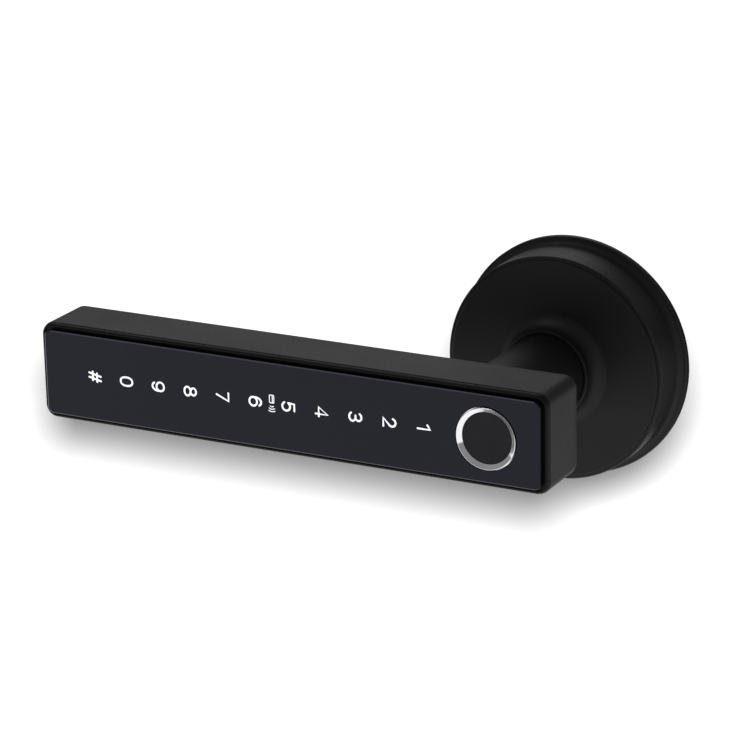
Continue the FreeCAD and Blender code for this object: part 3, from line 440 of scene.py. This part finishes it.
def floor_board(name):
    """Pale matt studio floor, very faintly mottled."""
    f = Finish(name, (FLOOR_TONE,) * 3, 0.9, specular=0.0)
    mottle = f.noise(3, 3)
    pale = (FLOOR_TONE,) * 3
    f.set(Base_Color=f.colours(f.spread(mottle, 0, 1), pale, tuple(c * FLOOR_MOTTLE for c in pale)))
    f.set(Roughness=f.spread(mottle, 0.85, 0.95))
    f.set(Emission_Color=(1.0, 1.0, 1.0, 1.0), Emission_Strength=FLOOR_GLOW)
    return f


FINISHES = {
    "black_paint": powder_coat,
    "black_bezel": satin_frame,
    "black_glass": printed_glass,
    "ring_chrome": turned_chrome,
    "sensor_cover": sensor_coating,
    "adhesive_foam": lambda name: foam(name, (0.006, 0.006, 0.006), (0.02, 0.02, 0.02), 0.25 * MM),
    "gasket_foam": lambda name: foam(name, (0.010, 0.010, 0.010), (0.045, 0.045, 0.046), 0.6 * MM),
    "bush_plastic": lambda name: moulded(name, (0.008, 0.008, 0.008), (0.016, 0.016, 0.017)),
    "black_plastic": lambda name: moulded(name, (0.010, 0.010, 0.010), (0.020, 0.020, 0.021)),
    "connector_plastic": lambda name: moulded(name, (0.60, 0.54, 0.40), (0.74, 0.69, 0.55)),
    "clear_plastic": clear_plastic,
    "led_white": lamp_white,
    "circuit_board": circuit_board,
    "copper": lambda name: warm_metal(name, (0.38, 0.15, 0.07), (0.72, 0.36, 0.20)),
    "brass": lambda name: warm_metal(name, (0.44, 0.30, 0.10), (0.72, 0.54, 0.24)),
    "chip_plastic": chip_epoxy,
    "ribbon_film": ribbon_film,
    "wire_rubber": wire_rubber,
    "socket_steel": lambda name: drawn_steel(name, 0.55),
    "black_screws": black_oxide,
    "zinc_steel": plated_steel,
    "spring_steel": lambda name: drawn_steel(name, 0.32, (900, 900, 900)),
    "motor_steel": lambda name: drawn_steel(name, 0.6, (900, 3000, 900)),
    "sintered_steel": sintered,
    "spindle_steel": lambda name: plated_steel(name, 0.6),
}


def finish_nodes():
    """Every CAD node gets the finish that its material slot in the record names."""
    made = {}
    for part in frame["record"]["subparts"]:
        slot = part["material_slot"]
        if slot not in made:
            made[slot] = FINISHES[slot]("finish_" + slot).material
        mesh = frame["nodes"][part["node"]].data
        mesh.materials.clear()
        mesh.materials.append(made[slot])


# ---------------------------------------------------------------- symbols

def arc(centre, radii, start, end):
    """Points of an elliptical arc, angles in degrees, anticlockwise if end is larger."""
    steps = max(3, int(abs(end - start) / ARC_STEP_DEGREES))
    points = []
    for i in range(steps + 1):
        a = math.radians(start + (end - start) * i / steps)
        points.append((centre[0] + radii[0] * math.cos(a), centre[1] + radii[1] * math.sin(a)))
    return points


def oval(centre, radii, power=2.0):
    """A closed oval; a power above 2 flattens its sides."""
    points = []
    for i in range(OVAL_STEPS):
        a = 2 * math.pi * i / OVAL_STEPS
        c, s = math.cos(a), math.sin(a)
        points.append((centre[0] + radii[0] * math.copysign(abs(c) ** (2 / power), c),
                       centre[1] + radii[1] * math.copysign(abs(s) ** (2 / power), s)))
    return points + points[:1]


def turned_round(strokes):
    """The same strokes after half a turn."""
    return [[(-u, -v) for u, v in stroke] for stroke in strokes]


# Centre lines of the strokes, in millimetres: first across to the right, then up
TOP = 1.76
SIX = [
    arc((0.04, 0.0), (1.24, TOP), 42, 196),
    oval((0.0, -0.62), (1.20, 1.14)),
]
GLYPHS = {
    "1": [[(-0.74, 1.02), (0.42, TOP), (0.42, -TOP)]],
    "2": [arc((0.05, 0.72), (1.04, 1.04), 165, -47) + [(-1.04, -TOP), (1.18, -TOP)]],
    "3": [
        arc((0.0, 0.90), (0.98, 0.86), 158, -90) + [(-0.42, 0.04)],
        arc((0.0, -0.86), (1.14, 0.90), 90, -157),
    ],
    "4": [[(0.70, -TOP), (0.70, TOP), (-1.18, -0.86), (1.34, -0.86)]],
    "5": [[(1.02, TOP), (-0.80, TOP), (-0.96, 0.02)] + arc((0.0, -0.62), (1.16, 1.14), 146, -154)],
    "6": SIX,
    "7": [[(-1.1, TOP), (1.12, TOP), (-0.42, -TOP)]],
    "8": [oval((0.0, 0.93), (0.98, 0.83)), oval((0.0, -0.84), (1.22, 0.92))],
    "9": turned_round(SIX),
    "0": [oval((0.0, 0.0), (1.18, 1.80), 2.3)],
    "hash": [
        [(-0.20, 1.80), (-1.00, -1.80)],
        [(1.02, 1.80), (0.22, -1.80)],
        [(-1.00, 0.62), (1.38, 0.62)],
        [(-1.38, -0.68), (1.02, -0.68)],
    ],
}
KEY_ORDER = ["1", "2", "3", "4", "5", "6", "7", "8", "9", "0", "hash"]
CARD_AFTER = 5
CARD_GLYPH = [
    [(-2.55, 0.50), (-2.55, -0.50), (-2.40, -0.65), (-0.60, -0.65), (-0.45, -0.50), (-0.45, 0.50),
     (-0.60, 0.65), (-2.40, 0.65), (-2.55, 0.50)],
    [(-2.50, 0.22), (-0.50, 0.22)],
    arc((0.0, 0.0), (0.65, 0.65), -48, 48),
    arc((0.0, 0.0), (1.30, 1.30), -38, 38),
    arc((0.0, 0.0), (1.95, 1.95), -28, 28),
]


def stroke_outline(points, half):
    """Left and right edges of a stroke. Each point moves sideways, square to the mean of the ways in and
    out of it, and further at a corner, to keep the stroke's width. CORNER_LIMIT is the least cosine used."""
    closed = math.dist(points[0], points[-1]) < 1e-6
    if closed:
        points = points[:-1]
    count = len(points)
    left, right = [], []
    for i, point in enumerate(points):
        here = Vector(point)
        before = Vector(points[i - 1]) if i or closed else None
        after = Vector(points[(i + 1) % count]) if i < count - 1 or closed else None
        way_in = (here - before).normalized() if before is not None else (after - here).normalized()
        way_out = (after - here).normalized() if after is not None else way_in
        bisector = (way_in + way_out).normalized()
        side = Vector((-bisector.y, bisector.x))
        reach = half / max(CORNER_LIMIT, bisector.dot(way_in))
        left.append(here + side * reach)
        right.append(here - side * reach)
    return left, right, closed


def round_end(centre, start):
    """Points of the half circle that goes from start round the end of a stroke, clockwise."""
    spoke = start - centre
    return [centre + Matrix.Rotation(-math.pi * i / END_STEPS, 2) @ spoke for i in range(1, END_STEPS)]


def add_stroke(mesh, points, half, place, lift):
    """Adds one closed, flat-topped stroke to the mesh. place(u, v, height) gives a point in the frame."""
    left, right, closed = stroke_outline(points, half)
    if closed:
        add_band(mesh, left, right, place, lift)
        return
    first, last = Vector(points[0]), Vector(points[-1])
    outline = left + round_end(last, left[-1]) + right[::-1] + round_end(first, right[0])
    cap_top = [mesh.verts.new(place(p.x, p.y, lift)) for p in outline]
    cap_low = [mesh.verts.new(place(p.x, p.y, 0.0)) for p in outline]
    count = len(outline)
    for i in range(count):
        j = (i + 1) % count
        mesh.faces.new((cap_top[i], cap_top[j], cap_low[j], cap_low[i]))
    turn = len(left)
    ends = (count - 2 * turn) // 2
    side_top = cap_top[:turn], cap_top[turn + ends:2 * turn + ends][::-1]
    side_low = cap_low[:turn], cap_low[turn + ends:2 * turn + ends][::-1]
    for a, b in (side_top, side_low):
        for i in range(turn - 1):
            mesh.faces.new((a[i], b[i], b[i + 1], a[i + 1]))
    for row in (cap_top, cap_low):
        mesh.faces.new(row[turn - 1:turn + ends + 1])
        mesh.faces.new(row[2 * turn + ends - 1:] + row[:1])


def add_band(mesh, left, right, place, lift):
    """Adds a stroke that closes on itself: top, underside and both walls."""
    rows = []
    for a, b in zip(left, right):
        corners = ((a, lift), (b, lift), (b, 0.0), (a, 0.0))
        rows.append([mesh.verts.new(place(p.x, p.y, height)) for p, height in corners])
    count = len(rows)
    for i in range(count):
        a, b = rows[i], rows[(i + 1) % count]
        for k in range(4):
            mesh.faces.new((a[k], a[(k + 1) % 4], b[(k + 1) % 4], b[k]))


def symbol(name, strokes, x, rise, half, ink):
    """A symbol on the glass, its top towards the pivot and its right side down. Each stroke stands a little
    higher than the last, so that crossing strokes don't share a face."""
    glass_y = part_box("touch_panel")[0].y

    def place(u, v, height):
        return Vector((x + v * MM, glass_y - height, (rise - u) * MM))

    mesh = bmesh.new()
    for k, points in enumerate(strokes):
        add_stroke(mesh, points, half, place, (SYMBOL_THICKNESS + k * STROKE_STEP) * MM)
    bmesh.ops.recalc_face_normals(mesh, faces=mesh.faces)
    data = bpy.data.meshes.new(name)
    mesh.to_mesh(data)
    mesh.free()
    data.materials.append(ink)
    piece = bpy.data.objects.new(name, data)
    bpy.context.scene.collection.objects.link(piece)
    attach(piece, "lever")


def lamp_places():
    """The middle of each lamp under the glass, from the pivot outwards."""
    low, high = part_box("key_leds")
    half_lamp = LAMP_LENGTH / 2 * MM
    first, last = high.x - half_lamp, low.x + half_lamp
    step = (last - first) / (len(KEY_ORDER) - 1)
    return [first + step * k for k in range(len(KEY_ORDER))]


def make_symbols():
    ink = symbol_ink("finish_symbol_ink").material
    places = lamp_places()
    for key, x in zip(KEY_ORDER, places):
        symbol("symbol_" + key, GLYPHS[key], x, SYMBOL_RISE, SYMBOL_STROKE / 2, ink)
    between = (places[CARD_AFTER - 1] + places[CARD_AFTER]) / 2
    symbol("symbol_card", CARD_GLYPH, between, CARD_RISE, CARD_STROKE / 2, ink)


# ---------------------------------------------------------------- studio

def aim(thing, target, roll=0.0):
    """Points a camera or a light at the target."""
    thing.rotation_mode = "QUATERNION"
    turn = (target - thing.location).to_track_quat("-Z", "Y")
    thing.rotation_quaternion = turn @ Quaternion((0, 0, 1), roll)


def aim_point():
    return Vector((AIM_X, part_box("touch_panel")[0].y, AIM_Z))


def view_point():
    """The camera's place."""
    back = Vector((math.sin(CAMERA_AZIMUTH) * math.cos(CAMERA_ELEVATION),
                   -math.cos(CAMERA_AZIMUTH) * math.cos(CAMERA_ELEVATION),
                   math.sin(CAMERA_ELEVATION)))
    return aim_point() + back * CAMERA_DISTANCE


def make_camera():
    camera = bpy.data.objects.new("camera", bpy.data.cameras.new("camera"))
    bpy.context.scene.collection.objects.link(camera)
    camera.location = view_point()
    aim(camera, aim_point(), CAMERA_ROLL)
    camera.data.lens = CAMERA_LENS
    camera.data.sensor_width = SENSOR_WIDTH
    camera.data.clip_start = CLIP_START
    camera.data.clip_end = CLIP_END
    bpy.context.scene.camera = camera


def make_floor():
    mesh = bmesh.new()
    bmesh.ops.create_grid(mesh, x_segments=FLOOR_CELLS, y_segments=FLOOR_CELLS, size=FLOOR_SIZE / 2)
    data = bpy.data.meshes.new("floor")
    mesh.to_mesh(data)
    mesh.free()
    data.materials.append(floor_board("finish_floor").material)
    floor = bpy.data.objects.new("floor", data)
    floor.location = (0, 0, CAD_BOX[0].z - FLOOR_GAP)
    bpy.context.scene.collection.objects.link(floor)
    return floor


def light_only(light, floor, state):
    """INCLUDE: the light falls on the floor alone. EXCLUDE: it falls on everything but the floor."""
    group = bpy.data.collections.new(light.name + "_receivers")
    group.objects.link(floor)
    group.collection_objects[0].light_linking.link_state = state
    light.light_linking.receiver_collection = group


def soft_light(name, place, size, power):
    data = bpy.data.lights.new(name, "AREA")
    data.shape = "RECTANGLE"
    data.size, data.size_y = size
    data.energy = power
    light = bpy.data.objects.new(name, data)
    light.location = place
    bpy.context.scene.collection.objects.link(light)
    aim(light, Vector((0, 0, 0)))
    return light


def make_key_light():
    """A round lamp just above the camera, so that a shadow on the floor shows as a narrow dark border below
    the object. Its strength grows with distance, which makes up for the fading and for the flatter light on
    the far floor, so the whole floor is lit alike."""
    data = bpy.data.lights.new("key", "POINT")
    data.energy = KEY_POWER
    data.shadow_soft_size = KEY_RADIUS
    data.use_nodes = True
    tree = data.node_tree
    falloff = tree.nodes.new("ShaderNodeLightFalloff")
    distance = tree.nodes.new("ShaderNodeLightPath").outputs["Ray Length"]
    tree.links.new(distance, falloff.inputs["Strength"])
    tree.links.new(falloff.outputs["Constant"], tree.nodes["Emission"].inputs["Strength"])
    key = bpy.data.objects.new("key", data)
    key.location = view_point() + Vector((0, 0, KEY_RISE))
    key.visible_camera = False
    bpy.context.scene.collection.objects.link(key)
    return key


def make_world():
    world = bpy.data.worlds.new("studio")
    world.use_nodes = True
    background = world.node_tree.nodes["Background"]
    background.inputs["Color"].default_value = (*WORLD_TONE, 1.0)
    background.inputs["Strength"].default_value = WORLD_STRENGTH
    bpy.context.scene.world = world


def make_flag():
    """A black flag behind the rose's right side, seen only in reflections, which darkens the rose's rim: a
    painted shaded reflection.
    """
    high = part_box("rose_cover")[1]
    left, right = high.x - FLAG_OVERLAP, high.x + FLAG_REACH
    low_z = CAD_BOX[0].z - FLOOR_GAP
    y = high.y + FLAG_BEHIND
    corners = [(left, y, low_z), (right, y, low_z), (right, y, FLAG_TOP), (left, y, FLAG_TOP)]
    mesh = bpy.data.meshes.new("dark_card")
    mesh.from_pydata(corners, [], [(0, 1, 2, 3)])
    mesh.materials.append(foam("finish_dark_card", (0.002,) * 3, (0.004,) * 3, FLAG_CELL).material)
    flag = bpy.data.objects.new("dark_card", mesh)
    flag.visible_camera = False
    flag.visible_diffuse = False
    flag.visible_shadow = False
    bpy.context.scene.collection.objects.link(flag)


def make_studio():
    bpy.context.scene.view_settings.view_transform = "Standard"
    bpy.context.scene.view_settings.look = "None"
    make_world()
    floor = make_floor()
    light_only(make_key_light(), floor, "INCLUDE")
    light_only(soft_light("top", TOP_PLACE, TOP_SIZE, TOP_POWER), floor, "EXCLUDE")
    light_only(soft_light("front", FRONT_PLACE, FRONT_SIZE, FRONT_POWER), floor, "EXCLUDE")
    make_flag()


make_camera()
finish_nodes()
make_symbols()
make_studio()
